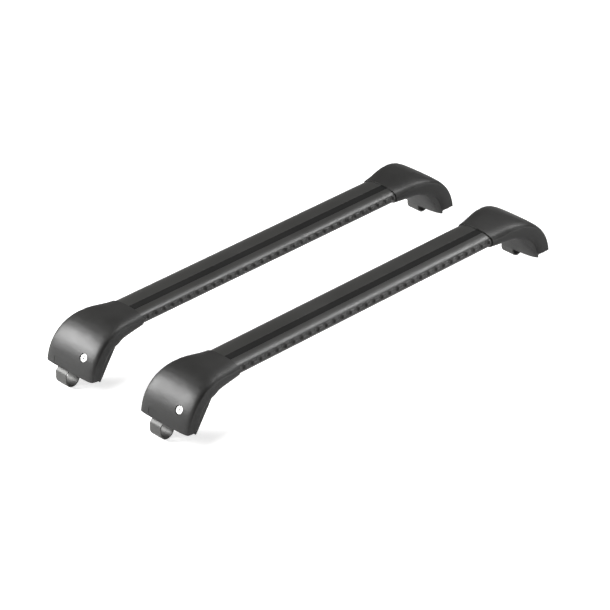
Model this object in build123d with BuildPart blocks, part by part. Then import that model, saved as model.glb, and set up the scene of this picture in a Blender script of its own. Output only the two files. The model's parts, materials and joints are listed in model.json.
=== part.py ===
"""Pair of roof cross bars that clamp onto raised roof rails.

+X runs along the bars to the vehicle's left, +Y points to its rear and +Z points up. The origin lies midway
between the two bars and between their ends, level with the lower edge of the hoods. A foot is modelled once, as
the left foot of a bar that lies on Y = 0, and is then mirrored and moved to its four places.
"""
import math
import os

from build123d import *

# Bars: the flattened oval extrusion and its distance from the other bar
bar_length = 770.0
bar_spacing = 242.0
bar_width = 82.0
bar_thickness = 27.0
bar_fullness = 0.69
bar_axis_height = 60.0
bar_wall = 2.4
nose_web = 9.0

# T-slot in the top of the bar, and the rubber strip that closes it
slot_offset = 9.5
slot_mouth = 11.0
slot_width = 22.0
slot_height = 7.0
slot_lip = 2.6
slot_wall = 2.0
strip_width = 15.5
strip_depth = 1.9
strip_gap = 0.1

# Dimples along the leading edge
dimple_pitch = 20.0
dimple_ball = 7.0
dimple_depth = 2.9
dimple_rise = 4.2
dimple_tilt = 27.0
dimple_margin = 6.0

# Hood: the collar at its mouth, the arch of its side edges and its crown
hood_overlap = 64.5
foot_reach = 70.0
hood_wall = 3.0
rim_wall = 1.9
rim_gap = 0.4
collar_length = 17.5
arch_run = 80.0
arch_sink = 20.0
arch_power = 2.3
arch_angles = (8.0, 16.0, 24.0, 32.0, 39.0, 46.0, 52.0, 58.0, 64.0, 70.0, 76.0, 81.0)
collar_shares = (0.0, 0.25, 0.5, 0.75, 1.0)
cavity_overrun = 5.0
edge_rise = 6.5
foot_half_width = 60.0
flare_power = 1.25
foot_crown = 7.5
foot_fullness = 0.92
side_fullness = 0.96
side_depth = 28.0
band_run = 57.5
band_height = 47.5
band_power = 1.9
throat_height = 55.0
hood_gap = 0.8

# Foot base: a moulded tub under the hood, with a tongue that plugs into the bar
base_wall = 4.0
pocket_half_width = 48.5
arch_clearance = 2.5
brow_steps = 8
jaw_reach = 28.0
jaw_depth = 11.0
jaw_bulge = 26.0
jaw_fullness = 0.78
lip_width = 8.5
seat_thickness = 5.0
seat_width = 15.5
end_wall = 5.0
end_gap = 0.3
tongue_length = 55.0
tongue_width = 38.0
tongue_height = 9.6
tongue_gap = 0.3
web_thickness = 3.0
shelf_thickness = 3.5

# Rail clamp: the roof rail, the strap around it, its nut and the screw that draws it up
rail_radius = 14.0
rail_inset = 8.5
saddle_depth = 1.0
saddle_ease = 0.5
pad_width = 13.0
pad_length = 96.0
pad_thickness = 7.0
pad_chamfer = 3.5
strap_thickness = 2.0
strap_width = 27.0
strap_offset = 19.5
strap_bend = 5.0
strap_shoulder = 12.0
strap_head_width = 36.0
strap_head_height = 12.0
strap_head_inset = 7.0
strap_travel = 7.5
strap_gap = 1.0
nut_height = 8.0
screw_diameter = 6.0
screw_fit = 0.05
screw_head_diameter = 10.0
screw_head_height = 4.0
screw_socket = 5.0
screw_socket_depth = 3.0
washer_diameter = 12.0
washer_thickness = 1.0
panel_width = 37.0
panel_height = 15.0
panel_recess = 0.9

# Lock: a key barrel in a housing that sits in a boss of the hood
lock_offset = 29.0
lock_height = 31.5
lock_hole_diameter = 16.8
lock_recess = 1.6
barrel_diameter = 14.6
barrel_length = 24.0
barrel_fit = 0.05
housing_diameter = 20.0
housing_length = 19.0
housing_fit = 0.05
boss_diameter = 25.0
boss_length = 9.0
boss_root = 0.8
key_slot_width = 1.8
key_slot_length = 7.0
key_slot_depth = 8.0
cam_thickness = 3.0
cam_reach = 13.0
cam_width = 8.0
cam_gap = 0.5
keeper_length = 16.0
keeper_width = 12.0
keeper_thickness = 5.0

# Screws that hold the foot base in the bar
bar_screw_diameter = 5.0
bar_screw_length = 10.0
bar_screw_head_diameter = 9.0
bar_screw_head_height = 3.0
bar_screw_inset = 18.0
bar_screw_spacing = 22.0
bar_screw_offset = 8.0
bar_screw_fit = 0.1

# Places that follow from the sizes above
bar_end = bar_length / 2
mouth_x = bar_end - hood_overlap
foot_end = bar_end + foot_reach
arch_start = foot_end - arch_run
edge_height = bar_axis_height + edge_rise
mouth_half_width = bar_width / 2 + rim_gap + rim_wall
mouth_half_height = bar_thickness / 2 + rim_gap + rim_wall
collar_floor = bar_axis_height - mouth_half_height
strip_seat = bar_thickness / 2 - strip_depth
slot_top = strip_seat - slot_lip
slot_floor = slot_top - slot_height
bar_floor = bar_axis_height - bar_thickness / 2
tongue_top = bar_axis_height + slot_floor - slot_wall - tongue_gap
lip_x = foot_end - jaw_reach
pad_x = lip_x + lip_width
seat_z = pad_thickness - jaw_depth
rail_x = foot_end - rail_inset
rail_z = saddle_depth - jaw_depth - rail_radius
inner_leg_x = rail_x - rail_radius
outer_leg_x = rail_x + rail_radius
head_x = foot_end - strap_head_inset
head_back_x = head_x - strap_thickness
floor_top = seat_z + seat_thickness
nut_z = floor_top + strap_gap
nut_top = nut_z + nut_height
shelf_z = nut_top + strap_travel + strap_gap
shelf_top = shelf_z + shelf_thickness
screw_x = (inner_leg_x + head_back_x) / 2
well_width = strap_head_width + 2 * strap_gap
long_way = 200.0
far_x = foot_end + long_way


def oval(half_width, crown, crown_fullness, depth, depth_fullness):
    """Closed outline of four quarter curves: a crown above its widest line and a lower half below it."""
    top_x, low_x = crown_fullness * half_width, depth_fullness * half_width
    top_y, low_y = crown_fullness * crown, depth_fullness * depth
    Bezier((half_width, 0), (half_width, top_y), (top_x, crown), (0, crown))
    Bezier((0, crown), (-top_x, crown), (-half_width, top_y), (-half_width, 0))
    Bezier((-half_width, 0), (-half_width, -low_y), (-low_x, -depth), (0, -depth))
    Bezier((0, -depth), (low_x, -depth), (half_width, -low_y), (half_width, 0))


def oval_reach(fullness, share):
    """Where a quarter curve is this share of its height, as a share of its half-width."""
    low, high = 0.0, 1.0
    for _ in range(60):
        t = (low + high) / 2
        height = 3 * (1 - t) ** 2 * t * fullness + 3 * (1 - t) * t * t + t ** 3
        low, high = (t, high) if height < share else (low, t)
    return (1 - t) ** 3 + 3 * (1 - t) ** 2 * t + 3 * (1 - t) * t * t * fullness


def arch_half_axes(run, height, power):
    """Half axes of an arch whose equator lies arch_sink below the hood's lower edge."""
    rise = height + arch_sink
    return run / (1 - (arch_sink / rise) ** power) ** (1 / power), rise


def arch_point(run, height, power, angle):
    """Place of an arch in the X-Z plane, and its outward lean from vertical in degrees."""
    across, rise = arch_half_axes(run, height, power)
    sine = math.sin(math.radians(angle)) ** (2 / power)
    cosine = math.cos(math.radians(angle)) ** (2 / power)
    lean = math.degrees(math.atan2(sine ** (power - 1) / across, cosine ** (power - 1) / rise))
    return arch_start + across * sine, rise * cosine - arch_sink, lean


def arch_angle_at_height(run, height, power, z):
    """Angle at which an arch passes a height."""
    rise = arch_half_axes(run, height, power)[1]
    return math.degrees(math.acos(((z + arch_sink) / rise) ** (power / 2)))


def station_plane(x, z, lean):
    """Plane across the foot: its x axis is +Y and its y axis leans outward."""
    angle = math.radians(lean)
    return Plane(origin=(x, 0, z), x_dir=(0, 1, 0), z_dir=(math.cos(angle), 0, -math.sin(angle)))


def foot_form(x):
    """Half-width, crown and fullness of the hood at a distance along the bar."""
    share = min(1.0, (x - mouth_x) / (foot_end - mouth_x))
    flare = 1 - (1 - share) ** flare_power
    half_width = mouth_half_width + (foot_half_width - mouth_half_width) * flare
    crown = mouth_half_height + (foot_crown - mouth_half_height) * share
    return half_width, crown, bar_fullness + (foot_fullness - bar_fullness) * share


lock_angle = arch_angle_at_height(arch_run, edge_height, arch_power, lock_height)
lock_x, lock_z, lock_lean = arch_point(arch_run, edge_height, arch_power, lock_angle)
lock_half_width, lock_crown, lock_fullness = foot_form(lock_x)
lock_level = lock_crown * oval_reach(lock_fullness, lock_offset / lock_half_width)
lock_normal = Vector(math.sin(math.radians(lock_lean)), 0, math.cos(math.radians(lock_lean)))
lock_plane = Plane(origin=Vector(lock_x, -lock_offset, lock_z) + lock_normal * lock_level,
                   x_dir=(0, 1, 0), z_dir=lock_normal)
panel_angle = arch_angle_at_height(arch_run, edge_height, arch_power, panel_height / 2)
panel_x, panel_z, panel_lean = arch_point(arch_run, edge_height, arch_power, panel_angle)
panel_half_width, panel_crown, panel_fullness = foot_form(panel_x)
panel_level = panel_crown * oval_reach(panel_fullness, strap_offset / panel_half_width) - panel_recess
panel_normal = Vector(math.sin(math.radians(panel_lean)), 0, math.cos(math.radians(panel_lean)))
panel_plane = Plane(origin=Vector(panel_x, strap_offset, panel_z) + panel_normal * panel_level,
                    x_dir=(0, 1, 0), z_dir=panel_normal)
housing_front = -hood_wall - boss_root
barrel_back = -lock_recess - barrel_length


def hood_body(collar_wall, wall, extra_depth, overrun):
    """The hood's outer form, drawn in by its walls, deepened at its underside and run on past both ends."""
    last = arch_angle_at_height(arch_run, edge_height, arch_power, -jaw_depth - strap_gap - overrun)
    with BuildPart() as body:
        for share in collar_shares:
            x = arch_start - (1 - share) * (arch_start - mouth_x + overrun)
            z = bar_axis_height + edge_rise * share * share * (3 - 2 * share)
            half_width, crown, fullness = foot_form(max(x, mouth_x))
            drawn = collar_wall + (wall - collar_wall) * share
            side = bar_fullness + (side_fullness - bar_fullness) * share
            with BuildSketch(station_plane(x, z, 0)):
                with BuildLine():
                    oval(half_width - drawn, crown - drawn, fullness, z - collar_floor - collar_wall, side)
                make_face()
        for angle in (*arch_angles, last):
            x, z, lean = arch_point(arch_run, edge_height, arch_power, angle)
            half_width, crown, fullness = foot_form(x)
            with BuildSketch(station_plane(x, z, lean)):
                with BuildLine():
                    oval(half_width - wall, crown - wall, fullness, side_depth + extra_depth, side_fullness)
                make_face()
        loft(ruled=True)
    return body.part


def jaw_form(setback):
    """Everything outward of the jaw's face, a bulged slope from the bar's end to the lip."""
    face_x = lip_x + setback
    side_x = face_x + jaw_bulge
    turn_x = side_x - jaw_fullness * jaw_bulge
    slope = Vector(bar_end - lip_x, 0, bar_floor + jaw_depth)
    with BuildPart() as form:
        with BuildSketch(Plane.XY.offset(-jaw_depth)):
            with BuildLine():
                for edge in (-foot_half_width, foot_half_width):
                    Bezier((face_x, 0), (face_x, jaw_fullness * edge), (turn_x, edge), (side_x, edge))
                Polyline((side_x, -foot_half_width), (far_x, -foot_half_width), (far_x, foot_half_width),
                         (side_x, foot_half_width))
            make_face()
        extrude(amount=2 * slope.length, dir=slope.normalized())
    return form.part


def block(x0, x1, y0, y1, z0, z1, mode=Mode.ADD):
    """Box between two corners."""
    with Locations(((x0 + x1) / 2, (y0 + y1) / 2, (z0 + z1) / 2)):
        Box(x1 - x0, y1 - y0, z1 - z0, mode=mode)


def make_profile():
    """Hollow extrusion with a T-slot in its top and dimples along its leading edge."""
    half_width = bar_width / 2
    half_height = bar_thickness / 2
    with BuildPart() as profile:
        with BuildSketch(Plane.YZ.offset(-bar_end)):
            with BuildLine():
                oval(half_width, half_height, bar_fullness, half_height, bar_fullness)
            make_face()
            with BuildSketch(mode=Mode.SUBTRACT):
                with BuildLine():
                    inner = half_height - bar_wall
                    oval(half_width - bar_wall, inner, bar_fullness, inner, bar_fullness)
                make_face()
                with Locations((nose_web - half_width, 0)):
                    Rectangle(bar_width, bar_thickness, align=(Align.MAX, Align.CENTER), mode=Mode.SUBTRACT)
                with Locations((-slot_offset, slot_floor - slot_wall)):
                    Rectangle(slot_width + 2 * slot_wall, bar_thickness, align=(Align.CENTER, Align.MIN),
                              mode=Mode.SUBTRACT)
            with Locations((-slot_offset, slot_floor)):
                Rectangle(slot_width, slot_height, align=(Align.CENTER, Align.MIN), mode=Mode.SUBTRACT)
                Rectangle(slot_mouth, bar_thickness, align=(Align.CENTER, Align.MIN), mode=Mode.SUBTRACT)
            with Locations((-slot_offset, strip_seat)):
                Rectangle(strip_width, bar_thickness, align=(Align.CENTER, Align.MIN), mode=Mode.SUBTRACT)
        extrude(amount=bar_length)
        away = dimple_ball - dimple_depth
        nose_y = -half_width * oval_reach(bar_fullness, dimple_rise / half_height)
        ball_y = nose_y - away * math.cos(math.radians(dimple_tilt))
        ball_z = dimple_rise + away * math.sin(math.radians(dimple_tilt))
        count = int(2 * (mouth_x - dimple_margin) / dimple_pitch) + 1
        with Locations((0, ball_y, ball_z)):
            with GridLocations(dimple_pitch, 1, count, 1):
                Sphere(dimple_ball, mode=Mode.SUBTRACT)
        for side in (-1, 1):
            for i in range(2):
                x = side * (bar_end - bar_screw_inset - i * bar_screw_spacing)
                with Locations((x, bar_screw_offset, -half_height)):
                    Cylinder(bar_screw_diameter / 2 + bar_screw_fit, 2 * bar_wall + bar_screw_diameter,
                             mode=Mode.SUBTRACT)
    return profile.part.moved(Location((0, 0, bar_axis_height)))


def make_strip():
    """Rubber strip whose cap lies flush with the bar and whose stem fills the slot's mouth."""
    half_height = bar_thickness / 2
    with BuildPart() as strip:
        with BuildSketch(Plane.YZ.offset(-bar_end)):
            with BuildLine():
                oval(bar_width / 2, half_height, bar_fullness, half_height, bar_fullness)
            make_face()
            with BuildSketch(mode=Mode.INTERSECT):
                with Locations((-slot_offset, strip_seat)):
                    Rectangle(strip_width - 2 * strip_gap, bar_thickness, align=(Align.CENTER, Align.MIN))
                with Locations((-slot_offset, slot_top)):
                    Rectangle(slot_mouth - 2 * strip_gap, slot_lip, align=(Align.CENTER, Align.MIN))
        extrude(amount=bar_length)
    return strip.part.moved(Location((0, 0, bar_axis_height)))


def make_hood():
    """Outer cover: a shell with a collar around the bar, open below, with a lock boss and a recessed panel."""
    with BuildPart() as hood:
        add(hood_body(0, 0, 0, 0))
        add(hood_body(rim_wall, hood_wall, base_wall, cavity_overrun), mode=Mode.SUBTRACT)
        with BuildSketch(Plane.XZ):
            with BuildLine():
                last = arch_angle_at_height(band_run, band_height, band_power, -jaw_depth)
                steps = 8
                points = [arch_point(band_run, band_height, band_power, last * i / steps)[:2]
                          for i in range(steps + 1)]
                Spline(*points)
                lowest = -jaw_depth - side_depth
                Polyline(points[-1], (points[-1][0], lowest), (mouth_x + collar_length, lowest),
                         (mouth_x + collar_length, band_height), points[0])
            make_face()
        extrude(amount=2 * foot_half_width, both=True, mode=Mode.SUBTRACT)
        block(mouth_x, far_x, -long_way, long_way, -long_way, 0, mode=Mode.SUBTRACT)
        throat = [(mouth_x + collar_length, bar_width / 2 + rim_gap), (bar_end, bar_width / 2 + rim_gap),
                  (bar_end, foot_form(bar_end)[0] - hood_wall), (lip_x, foot_form(lip_x)[0] - hood_wall - hood_gap)]
        with BuildSketch(Plane.XY):
            with BuildLine():
                Polyline(*throat, *[(x, -y) for x, y in reversed(throat)], close=True)
            make_face()
        extrude(amount=throat_height, mode=Mode.SUBTRACT)
        with Locations(lock_plane):
            with Locations((0, 0, -hood_wall + boss_root)):
                Cylinder(boss_diameter / 2, boss_length, align=(Align.CENTER, Align.CENTER, Align.MAX))
            with Locations((0, 0, housing_front)):
                Cylinder(housing_diameter / 2 + housing_fit, boss_length,
                         align=(Align.CENTER, Align.CENTER, Align.MAX), mode=Mode.SUBTRACT)
            Cylinder(lock_hole_diameter / 2, 2 * boss_length, mode=Mode.SUBTRACT)
        with Locations(panel_plane):
            Box(panel_width, panel_height, foot_crown, align=(Align.CENTER, Align.CENTER, Align.MIN),
                mode=Mode.SUBTRACT)
    return hood.part


def make_base_pocket():
    """The space inside the foot base, around its webs, its screw shelf and its lock keeper."""
    web_y = well_width / 2 + web_thickness
    with BuildPart() as pocket:
        add(jaw_form(base_wall))
        block(bar_end + end_gap + end_wall, far_x, -pocket_half_width, pocket_half_width, floor_top, long_way,
              mode=Mode.INTERSECT)
        block(pad_x + seat_width, far_x, -pocket_half_width, pocket_half_width, -jaw_depth, long_way)
        block(bar_end, foot_end, strap_offset - web_y, strap_offset + web_y, shelf_z, shelf_top, mode=Mode.SUBTRACT)
        for y in (strap_offset - web_y, strap_offset + web_y - web_thickness):
            block(bar_end, foot_end, y, y + web_thickness, seat_z, shelf_top, mode=Mode.SUBTRACT)
        with Locations(lock_plane):
            with Locations((-cam_reach + cam_gap, 0, barrel_back + cam_gap)):
                Box(keeper_length, keeper_width, keeper_thickness, align=(Align.MAX, Align.CENTER, Align.MIN),
                    mode=Mode.SUBTRACT)
    return pocket.part


def make_base():
    """Inner body: an open tub with a jaw, a seat and a tongue that plugs into the bar."""
    inset = hood_wall + hood_gap
    inner_x = bar_end + end_gap
    inner_half_width = foot_form(bar_end)[0] - inset
    outer_half_width = foot_form(foot_end)[0] - inset
    first = arch_angle_at_height(arch_run, edge_height, arch_power, edge_height - arch_clearance)
    last = arch_angle_at_height(arch_run, edge_height, arch_power, seat_thickness)
    brow = []
    for i in range(brow_steps + 1):
        x, z, lean = arch_point(arch_run, edge_height, arch_power, first + (last - first) * i / brow_steps)
        angle = math.radians(lean)
        brow.append((x - arch_clearance * math.sin(angle), z - arch_clearance * math.cos(angle)))
    with BuildPart() as base:
        with BuildSketch(Plane.XZ):
            with BuildLine():
                Polyline(*brow, (pad_x + seat_width, hood_gap), (pad_x + seat_width, seat_z), (pad_x, seat_z),
                         (pad_x, -jaw_depth), (inner_x, -jaw_depth), (inner_x, brow[0][1]), close=True)
            make_face()
        extrude(amount=foot_half_width, both=True)
        with BuildSketch(Plane.XY):
            with BuildLine():
                Polyline((bar_end, -inner_half_width), (foot_end, -outer_half_width), (foot_end, outer_half_width),
                         (bar_end, inner_half_width), close=True)
            make_face()
        extrude(amount=bar_length, both=True, mode=Mode.INTERSECT)
        add(jaw_form(0), mode=Mode.INTERSECT)
        add(make_base_pocket(), mode=Mode.SUBTRACT)
        block(bar_end - tongue_length, inner_x + end_wall, -tongue_width / 2, tongue_width / 2,
              tongue_top - tongue_height, tongue_top)
        slot_y = strap_width / 2 + strap_gap
        block(inner_leg_x - strap_thickness - strap_gap, inner_leg_x + strap_gap, strap_offset - slot_y,
              strap_offset + slot_y, -long_way, shelf_z, mode=Mode.SUBTRACT)
        block(head_back_x - strap_gap, far_x, strap_offset - well_width / 2, strap_offset + well_width / 2,
              -long_way, shelf_z, mode=Mode.SUBTRACT)
        with Locations((screw_x, strap_offset, shelf_z)):
            Cylinder(screw_diameter / 2 + screw_fit, 4 * shelf_thickness, mode=Mode.SUBTRACT)
        for i in range(2):
            with Locations((bar_end - bar_screw_inset - i * bar_screw_spacing, bar_screw_offset, bar_floor)):
                Cylinder(bar_screw_diameter / 2 + bar_screw_fit, bar_screw_length,
                         align=(Align.CENTER, Align.CENTER, Align.MIN), mode=Mode.SUBTRACT)
    return base.part


def make_pad():
    """Rubber seat with a shallow saddle for the rail."""
    with BuildPart() as pad:
        block(pad_x, pad_x + pad_width, -pad_length / 2, pad_length / 2, -jaw_depth, seat_z)
        chamfer(pad.edges().filter_by(Axis.Y).group_by(Axis.Z)[0].sort_by(Axis.X)[-1], pad_chamfer)
        with Locations(Location((rail_x, 0, rail_z), (90, 0, 0))):
            Cylinder(rail_radius + saddle_ease, 2 * pad_length, mode=Mode.SUBTRACT)
    return pad.part


def make_strap():
    """Steel band: an inner leg, a loop around the rail and an outer leg with a wide head."""
    with BuildPart() as strap:
        with BuildSketch(Plane.XZ.offset(-strap_offset - strap_width / 2)):
            with BuildLine():
                Line((inner_leg_x, nut_top), (inner_leg_x, rail_z))
                ThreePointArc((inner_leg_x, rail_z), (rail_x, rail_z - rail_radius), (outer_leg_x, rail_z))
                neck = outer_leg_x - head_back_x
                FilletPolyline((outer_leg_x, rail_z), (outer_leg_x, rail_z + strap_shoulder),
                               (head_back_x, rail_z + strap_shoulder + neck), (head_back_x, nut_top),
                               radius=strap_bend)
                offset(amount=strap_thickness, side=Side.RIGHT)
            make_face()
        extrude(amount=strap_width)
        block(head_back_x, head_x, strap_offset - strap_head_width / 2, strap_offset + strap_head_width / 2,
              nut_top - strap_head_height / 2, nut_top)
    return strap.part


def make_nut():
    """Block between the strap's legs that takes the clamp screw."""
    with BuildPart() as nut:
        block(inner_leg_x, head_back_x, strap_offset - strap_width / 2, strap_offset + strap_width / 2, nut_z, nut_top)
        with Locations((screw_x, strap_offset, nut_z)):
            Cylinder(screw_diameter / 2 + screw_fit, 4 * nut_height, mode=Mode.SUBTRACT)
    return nut.part


def make_washer():
    """Thrust washer under the head of the clamp screw."""
    with BuildPart() as washer:
        with Locations((screw_x, strap_offset, shelf_top)):
            Cylinder(washer_diameter / 2, washer_thickness, align=(Align.CENTER, Align.CENTER, Align.MIN))
            Cylinder(screw_diameter / 2 + screw_fit, 4 * washer_thickness, mode=Mode.SUBTRACT)
    return washer.part


def make_screw():
    """Socket-head clamp screw, from above its washer to below the lowered nut."""
    head_z = shelf_top + washer_thickness
    with BuildPart() as screw:
        with Locations((screw_x, strap_offset, head_z)):
            Cylinder(screw_diameter / 2, head_z - nut_z + strap_gap / 2, align=(Align.CENTER, Align.CENTER, Align.MAX))
            Cylinder(screw_head_diameter / 2, screw_head_height, align=(Align.CENTER, Align.CENTER, Align.MIN))
        with BuildSketch(Plane.XY.offset(head_z + screw_head_height)):
            with Locations((screw_x, strap_offset)):
                RegularPolygon(screw_socket / 2, 6, major_radius=False)
        extrude(amount=-screw_socket_depth, mode=Mode.SUBTRACT)
    return screw.part


def make_housing():
    """Sleeve that carries the lock barrel in the hood's boss."""
    with BuildPart() as housing:
        with Locations(lock_plane):
            with Locations((0, 0, housing_front)):
                Cylinder(housing_diameter / 2, housing_length, align=(Align.CENTER, Align.CENTER, Align.MAX))
                Cylinder(barrel_diameter / 2 + barrel_fit, 4 * housing_length, mode=Mode.SUBTRACT)
    return housing.part


def make_barrel():
    """Key barrel with a key slot in its face."""
    with BuildPart() as barrel:
        with Locations(lock_plane):
            with Locations((0, 0, -lock_recess)):
                Cylinder(barrel_diameter / 2, barrel_length, align=(Align.CENTER, Align.CENTER, Align.MAX))
                Box(key_slot_width, key_slot_length, 2 * key_slot_depth, mode=Mode.SUBTRACT)
    return barrel.part


def make_cam():
    """Lock cam: a disc on the back of the barrel with an arm that reaches behind the keeper."""
    with BuildPart() as cam:
        with BuildSketch(lock_plane.offset(barrel_back)):
            Circle(barrel_diameter / 2)
            with Locations((-cam_reach / 2, 0)):
                Rectangle(cam_reach, cam_width)
            with Locations((-cam_reach, 0)):
                Circle(cam_width / 2)
        extrude(amount=-cam_thickness)
    return cam.part


def make_bar_screws():
    """Two screws from below the bar into the tongue."""
    with BuildPart() as screws:
        for i in range(2):
            with Locations((bar_end - bar_screw_inset - i * bar_screw_spacing, bar_screw_offset, bar_floor)):
                Cylinder(bar_screw_diameter / 2, bar_screw_length, align=(Align.CENTER, Align.CENTER, Align.MIN))
                Cylinder(bar_screw_head_diameter / 2, bar_screw_head_height,
                         align=(Align.CENTER, Align.CENTER, Align.MAX))
    return screws.part


bar_pieces = {"bar_profile": make_profile(), "slot_strip": make_strip()}
foot_pieces = {
    "hood": make_hood(),
    "foot_base": make_base(),
    "rail_pad": make_pad(),
    "strap": make_strap(),
    "strap_nut": make_nut(),
    "thrust_washer": make_washer(),
    "clamp_screw": make_screw(),
    "lock_housing": make_housing(),
    "lock_barrel": make_barrel(),
    "lock_cam": make_cam(),
    "bar_screws": make_bar_screws(),
}
drawn_up_pieces = ("strap", "strap_nut")

os.makedirs("parts", exist_ok=True)
for end_name, end_sign in (("front", -1), ("rear", 1)):
    bar_place = Location((0, end_sign * bar_spacing / 2, 0))
    for piece_name, piece in bar_pieces.items():
        with BuildPart() as bar_node:
            add(piece.moved(bar_place))
        bar_node.part.label = f"{end_name}_{piece_name}"
        export_step(bar_node.part, f"parts/{end_name}_{piece_name}.step")
    for piece_name, piece in foot_pieces.items():
        # The left straps are drawn up into their feet and the right ones hang ready for the rail
        lift = strap_travel if piece_name in drawn_up_pieces else 0
        with BuildPart() as left_node:
            add(piece.moved(bar_place * Location((0, 0, lift))))
        left_node.part.label = f"{end_name}_left_{piece_name}"
        export_step(left_node.part, f"parts/{end_name}_left_{piece_name}.step")
        with BuildPart() as right_node:
            mirror(piece.moved(bar_place), about=Plane.YZ)
        right_node.part.label = f"{end_name}_right_{piece_name}"
        export_step(right_node.part, f"parts/{end_name}_right_{piece_name}.step")
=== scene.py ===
"""Looks, light and camera for the pair of roof cross bars."""
import json
import math

import bpy
import numpy as np
from mathutils import Matrix, Vector


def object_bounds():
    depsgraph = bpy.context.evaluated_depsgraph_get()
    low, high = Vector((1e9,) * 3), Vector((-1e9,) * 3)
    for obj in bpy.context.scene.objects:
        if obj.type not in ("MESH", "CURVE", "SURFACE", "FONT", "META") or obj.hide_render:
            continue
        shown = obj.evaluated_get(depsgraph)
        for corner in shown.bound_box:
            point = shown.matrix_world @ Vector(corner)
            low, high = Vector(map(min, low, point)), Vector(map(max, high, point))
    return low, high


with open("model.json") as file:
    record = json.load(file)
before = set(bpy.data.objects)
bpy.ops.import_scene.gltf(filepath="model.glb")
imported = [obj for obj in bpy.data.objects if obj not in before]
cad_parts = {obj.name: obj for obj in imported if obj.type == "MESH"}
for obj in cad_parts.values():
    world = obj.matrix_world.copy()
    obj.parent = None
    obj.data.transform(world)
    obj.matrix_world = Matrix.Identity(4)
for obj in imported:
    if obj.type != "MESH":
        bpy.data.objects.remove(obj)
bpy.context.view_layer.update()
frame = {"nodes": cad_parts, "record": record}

scene = bpy.context.scene

# Surfaces, in metres
relief_depth = 0.0004
fine_edge = 0.0003
cloud_scale = 14.0
roughness_spread = 0.05
coat_roughness = 0.35
bevel_samples = 6

# Colours shared by several finishes
black = (0.006, 0.006, 0.0057)
soft_black = (0.012, 0.0118, 0.0111)
zinc_dark = (0.38, 0.385, 0.39)
zinc_light = (0.56, 0.56, 0.555)

# Moulded skins that are shaded as smooth surfaces
moulded_slots = ("hood", "base")
crease = math.cos(math.radians(28.0))
skin_passes = 24
place_digits = 6
least_length = 1e-12

# Floor, in metres: its glow for the camera grows where the lamps no longer reach
floor_size = 60.0
floor_dark = (0.80, 0.80, 0.80)
floor_light = (0.84, 0.84, 0.84)
near_glow = 0.62
far_glow = 1.0
near_radius = 1.0
far_radius = 4.0

# Room light and the white that the camera sees behind the floor
room_colour = (1.0, 0.99, 0.97, 1)
room_strength = 0.20
white = (1, 1, 1, 1)

# Camera, in degrees, metres and millimetres of lens
camera_azimuth = -45.0
camera_elevation = 30.0
camera_distance = 6.1
camera_target = Vector((-0.00675, -0.0069, 0.0))
lens_length = 200.0
sensor_width = 36.0
view_reach = 100.0


def node(tree, kind, **inputs):
    """Adds a node and fills the inputs that are given by name."""
    new = tree.nodes.new(kind)
    for name, value in inputs.items():
        new.inputs[name.replace("_", " ")].default_value = value
    return new


def blank(name):
    """A material with an empty node tree and its output."""
    material = bpy.data.materials.new(name)
    material.use_nodes = True
    tree = material.node_tree
    tree.nodes.clear()
    return material, tree, tree.nodes.new("ShaderNodeOutputMaterial")


def ramp(tree, source, low, high, start=0.3, end=0.7):
    """Maps a signal between start and end onto a range of values."""
    scaled = node(tree, "ShaderNodeMapRange", From_Min=start, From_Max=end, To_Min=low, To_Max=high)
    tree.links.new(source, scaled.inputs["Value"])
    return scaled.outputs["Result"]


def two_tones(tree, factor, dark, light):
    """Mixes two colours by a 0-1 signal."""
    tones = tree.nodes.new("ShaderNodeMix")
    tones.data_type = "RGBA"
    colours = [socket for socket in tones.inputs if socket.type == "RGBA"]
    colours[0].default_value = (*dark, 1)
    colours[1].default_value = (*light, 1)
    tree.links.new(factor, tones.inputs[0])
    return next(socket for socket in tones.outputs if socket.type == "RGBA")


def finish_material(name, dark, light, rough, metallic=0.0, grain=900.0, bump=0.15, stretch=(1, 1, 1),
                    edge=0.0006, coat=0.0, specular=0.5):
    """Moulded, coated or metal surface: cloudy tone, grain in the relief and softened edges."""
    material, tree, output = blank(name)
    place = tree.nodes.new("ShaderNodeTexCoord").outputs["Object"]
    mapping = node(tree, "ShaderNodeMapping", Scale=stretch)
    tree.links.new(place, mapping.inputs["Vector"])

    clouds = node(tree, "ShaderNodeTexNoise", Scale=cloud_scale, Detail=5.0, Roughness=0.6)
    tree.links.new(place, clouds.inputs["Vector"])
    grains = node(tree, "ShaderNodeTexNoise", Scale=grain, Detail=3.0, Roughness=0.55)
    tree.links.new(mapping.outputs["Vector"], grains.inputs["Vector"])

    # Grain and clouds each give half of the tone
    share = tree.nodes.new("ShaderNodeMath")
    share.operation = "MULTIPLY_ADD"
    share.inputs[1].default_value = 0.5
    tree.links.new(grains.outputs["Fac"], share.inputs[0])
    tree.links.new(ramp(tree, clouds.outputs["Fac"], 0.0, 0.5), share.inputs[2])
    tone = two_tones(tree, share.outputs["Value"], dark, light)

    relief = node(tree, "ShaderNodeBump", Strength=bump, Distance=relief_depth)
    tree.links.new(grains.outputs["Fac"], relief.inputs["Height"])
    if edge:
        rounded = node(tree, "ShaderNodeBevel", Radius=edge)
        rounded.samples = bevel_samples
        tree.links.new(rounded.outputs["Normal"], relief.inputs["Normal"])

    shader = node(tree, "ShaderNodeBsdfPrincipled", Metallic=metallic, Specular_IOR_Level=specular,
                  Coat_Weight=coat, Coat_Roughness=coat_roughness)
    roughness = ramp(tree, clouds.outputs["Fac"], rough - roughness_spread, rough + roughness_spread)
    tree.links.new(tone, shader.inputs["Base Color"])
    tree.links.new(roughness, shader.inputs["Roughness"])
    tree.links.new(relief.outputs["Normal"], shader.inputs["Normal"])
    tree.links.new(shader.outputs["BSDF"], output.inputs["Surface"])
    return material


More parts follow.
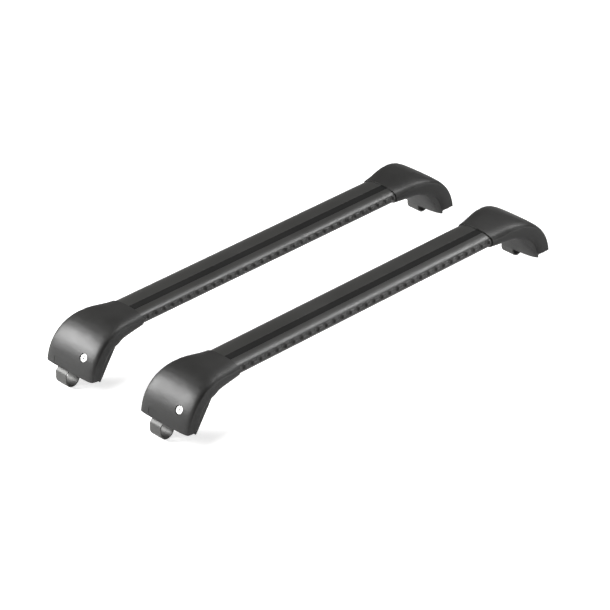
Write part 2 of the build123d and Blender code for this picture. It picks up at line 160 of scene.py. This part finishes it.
def zinc_material(name, rough, grain, edge=fine_edge):
    """Bright plated steel of the small metal pieces."""
    return finish_material(name, zinc_dark, zinc_light, rough, metallic=1.0, grain=grain, bump=0.1, edge=edge)


looks = {
    "bar": finish_material("bar_coat", (0.016, 0.016, 0.015), (0.026, 0.026, 0.0245), 0.36,
                           grain=1500.0, bump=0.10, coat=0.15, edge=0.0004),
    "strip": finish_material("strip_rubber", (0.006, 0.006, 0.006), (0.012, 0.012, 0.0115), 0.62,
                             grain=500.0, bump=0.25, stretch=(0.05, 4, 1), edge=0.0004, specular=0.12),
    "hood": finish_material("hood_plastic", black, soft_black, 0.47, grain=1700.0, bump=0.20, edge=0.0),
    "base": finish_material("base_plastic", (0.014, 0.014, 0.0135), (0.026, 0.0258, 0.0245), 0.46,
                            grain=1300.0, bump=0.22, edge=0.0),
    "pad": finish_material("pad_rubber", (0.007, 0.007, 0.007), (0.014, 0.014, 0.0135), 0.70,
                           grain=800.0, bump=0.3, specular=0.3),
    "strap": finish_material("strap_steel", (0.055, 0.055, 0.053), (0.09, 0.09, 0.087), 0.50,
                             metallic=0.2, grain=420.0, bump=0.12, stretch=(1, 8, 1), edge=0.0004),
    "nut": zinc_material("nut_zinc", 0.35, 600.0),
    "washer": zinc_material("washer_zinc", 0.32, 700.0, edge=0.0002),
    "screw": zinc_material("screw_zinc", 0.30, 800.0),
    "housing": finish_material("housing_plastic", black, soft_black, 0.48, grain=1300.0, bump=0.15),
    "barrel": finish_material("barrel_plate", (0.50, 0.50, 0.49), (0.62, 0.62, 0.61), 0.36,
                              metallic=0.6, grain=900.0, bump=0.05, stretch=(1, 6, 6), edge=fine_edge),
    "cam": zinc_material("cam_zinc", 0.36, 650.0),
    "bar_screw": zinc_material("bar_screw_zinc", 0.32, 800.0),
}


def smooth_shading(mesh):
    """Shades a moulded skin as one smooth surface, apart from its creases."""
    places = [tuple(round(value, place_digits) for value in vertex.co) for vertex in mesh.vertices]
    flat = np.array([polygon.normal for polygon in mesh.polygons])
    areas = np.array([[polygon.area] for polygon in mesh.polygons])
    edges, corners = {}, {}
    for polygon in mesh.polygons:
        around = [places[vertex] for vertex in polygon.vertices]
        for i, place in enumerate(around):
            edges.setdefault(frozenset((place, around[i - 1])), []).append(polygon.index)
            corners.setdefault(place, []).append(polygon.index)

    # Facets that share an edge take on each other's direction, unless a crease parts them
    shared = [pair for pair in edges.values() if len(pair) == 2]
    pairs = np.array([pair for pair in shared if flat[pair[0]] @ flat[pair[1]] > crease])
    skin = flat.copy()
    for _ in range(skin_passes):
        weighted = skin * areas
        total = weighted.copy()
        np.add.at(total, pairs[:, 0], weighted[pairs[:, 1]])
        np.add.at(total, pairs[:, 1], weighted[pairs[:, 0]])
        skin = total / np.linalg.norm(total, axis=1, keepdims=True).clip(least_length)

    normals = []
    for polygon in mesh.polygons:
        for vertex in polygon.vertices:
            near = np.array(corners[places[vertex]])
            near = near[flat[near] @ flat[polygon.index] > crease]
            normals.append(Vector(skin[near].sum(axis=0)).normalized())
    mesh.polygons.foreach_set("use_smooth", [True] * len(mesh.polygons))
    mesh.normals_split_custom_set(normals)


for subpart in frame["record"]["subparts"]:
    piece = frame["nodes"][subpart["node"]]
    piece.data.materials.clear()
    piece.data.materials.append(looks[subpart["material_slot"]])
    if subpart["material_slot"] in moulded_slots:
        smooth_shading(piece.data)


def area_light(name, direction, width, height, power, along, distance=2.6):
    """Softbox that faces the object from a direction, with its width along the given axis."""
    data = bpy.data.lights.new(name, "AREA")
    data.shape = "RECTANGLE"
    data.size = width
    data.size_y = height
    data.energy = power
    lamp = bpy.data.objects.new(name, data)
    scene.collection.objects.link(lamp)
    back = Vector(direction).normalized()
    across = Vector(along) - back * Vector(along).dot(back)
    across.normalize()
    up = back.cross(across)
    turn = Matrix((across, up, back)).transposed().to_4x4()
    lamp.matrix_world = Matrix.Translation(back * distance) @ turn


area_light("bar_softbox", (0.61, 0.05, 0.79), width=1.7, height=0.30, power=30.0, along=(1, 0, 0))
area_light("face_softbox", (-0.61, 0.61, 0.51), width=1.3, height=1.2, power=126.0, along=(1, 1, 0))
area_light("edge_softbox", (0.61, -0.48, 0.59), width=0.5, height=0.22, power=9.0, along=(1, 0, 0))
area_light("nose_softbox", (0.61, -0.78, 0.10), width=1.6, height=0.30, power=13.0, along=(1, 1, 0))
area_light("front_fill", (-0.75, -0.45, 0.35), width=1.2, height=0.8, power=8.0, along=(0, 1, 0),
           distance=3.0)


def floor_paper():
    """Pale paper that takes the shadow and looks white to the camera."""
    material, tree, output = blank("floor_paper")
    place = tree.nodes.new("ShaderNodeTexCoord").outputs["Object"]
    noise = node(tree, "ShaderNodeTexNoise", Scale=3.0, Detail=4.0)
    tree.links.new(place, noise.inputs["Vector"])
    diffuse = tree.nodes.new("ShaderNodeBsdfDiffuse")
    tree.links.new(two_tones(tree, noise.outputs["Fac"], floor_dark, floor_light), diffuse.inputs["Color"])

    radius = tree.nodes.new("ShaderNodeVectorMath")
    radius.operation = "LENGTH"
    tree.links.new(place, radius.inputs[0])
    whiteness = ramp(tree, radius.outputs["Value"], near_glow, far_glow, near_radius, far_radius)
    gain = tree.nodes.new("ShaderNodeMath")
    gain.operation = "MULTIPLY"
    tree.links.new(tree.nodes.new("ShaderNodeLightPath").outputs["Is Camera Ray"], gain.inputs[0])
    tree.links.new(whiteness, gain.inputs[1])
    glow = tree.nodes.new("ShaderNodeEmission")
    tree.links.new(gain.outputs["Value"], glow.inputs["Strength"])

    both = tree.nodes.new("ShaderNodeAddShader")
    tree.links.new(diffuse.outputs["BSDF"], both.inputs[0])
    tree.links.new(glow.outputs["Emission"], both.inputs[1])
    tree.links.new(both.outputs["Shader"], output.inputs["Surface"])
    return material


floor_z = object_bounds()[0][2]
bpy.ops.mesh.primitive_plane_add(size=floor_size, location=(0, 0, floor_z))
floor = bpy.context.object
floor.name = "floor"
floor.data.materials.append(floor_paper())


def studio_world():
    """Dim warm room light on the object, and plain white for the camera."""
    world = bpy.data.worlds.new("studio")
    world.use_nodes = True
    sky = world.node_tree
    sky.nodes.clear()
    output = sky.nodes.new("ShaderNodeOutputWorld")
    room = node(sky, "ShaderNodeBackground", Color=room_colour, Strength=room_strength)
    backdrop = node(sky, "ShaderNodeBackground", Color=white, Strength=1.0)
    choice = sky.nodes.new("ShaderNodeMixShader")
    sky.links.new(sky.nodes.new("ShaderNodeLightPath").outputs["Is Camera Ray"], choice.inputs["Fac"])
    sky.links.new(room.outputs["Background"], choice.inputs[1])
    sky.links.new(backdrop.outputs["Background"], choice.inputs[2])
    sky.links.new(choice.outputs["Shader"], output.inputs["Surface"])
    return world


def aimed_camera():
    """Long lens that looks at the object from the photograph's side and height."""
    azimuth = math.radians(camera_azimuth)
    elevation = math.radians(camera_elevation)
    level = math.cos(elevation)
    away = Vector((math.sin(azimuth) * level, -math.cos(azimuth) * level, math.sin(elevation)))
    data = bpy.data.cameras.new("camera")
    data.lens = lens_length
    data.sensor_width = sensor_width
    data.clip_end = view_reach
    camera = bpy.data.objects.new("camera", data)
    camera.location = camera_target + away * camera_distance
    camera.rotation_euler = (-away).to_track_quat("-Z", "Y").to_euler()
    scene.collection.objects.link(camera)
    return camera


scene.world = studio_world()
scene.camera = aimed_camera()
scene.view_settings.view_transform = "Standard"
